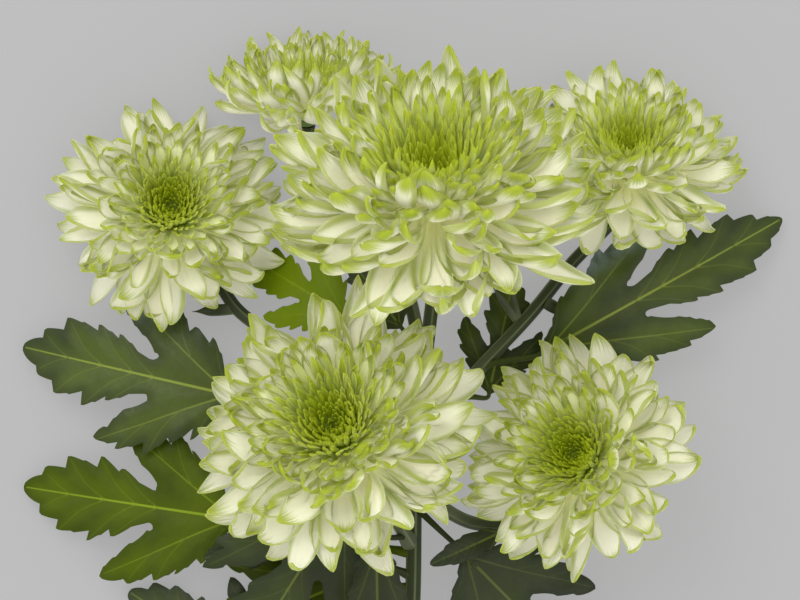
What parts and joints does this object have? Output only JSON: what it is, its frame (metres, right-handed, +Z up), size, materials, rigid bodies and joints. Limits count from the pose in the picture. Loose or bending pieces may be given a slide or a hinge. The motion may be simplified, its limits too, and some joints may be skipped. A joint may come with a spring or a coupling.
{
  "type": "branched spray of double chrysanthemums, cut stem",
  "caption": "Cut spray chrysanthemum laid on its back: cream-white double flower heads with green rims and eyes, lobed dark leaves, branched green stem.",
  "frame": {"origin": "middle of the outline seen from above, on the surface that the spray lies on", "axes": "+Z up from the surface, +Y along the stem from its cut end to the flowers, +X to the right seen from above"},
  "size_m": [0.2601, 0.33, 0.1303],
  "materials": {
    "petal": "soft matt, thin yellow-green rims",
    "eye": "matt",
    "bract": "matt",
    "stem": "satin, ribbed",
    "leaf_dark": "satin, pale veins",
    "leaf_bright": "satin, pale veins"
  },
  "bodies": {
    "root": {"stem": "stem", "bract_cup_centre": "bract", "ray_florets_centre": "petal", "eye_centre": "eye", "bract_cup_front": "bract", "ray_florets_front": "petal", "eye_front": "eye", "bract_cup_front_right": "bract", "ray_florets_front_right": "petal", "eye_front_right": "eye", "bract_cup_left": "bract", "ray_florets_left": "petal", "eye_left": "eye", "bract_cup_right": "bract", "ray_florets_right": "petal", "eye_right": "eye", "bract_cup_back": "bract", "ray_florets_back": "petal", "eye_back": "eye", "leaf_left_upper": "leaf_dark", "leaf_right": "leaf_dark", "leaf_right_inner": "leaf_dark", "leaf_middle": "leaf_dark", "leaf_front_narrow": "leaf_dark", "leaf_front_left": "leaf_dark", "leaf_tucked_left": "leaf_dark", "leaf_low_left": "leaf_dark", "leaf_front_right": "leaf_dark", "leaf_small_right": "leaf_dark", "leaf_bottom_right": "leaf_dark", "leaf_bottom_left": "leaf_dark", "leaf_left_lower": "leaf_bright", "leaf_left_inner": "leaf_bright", "leaf_low_bright": "leaf_bright"}
  },
  "joints": []
}
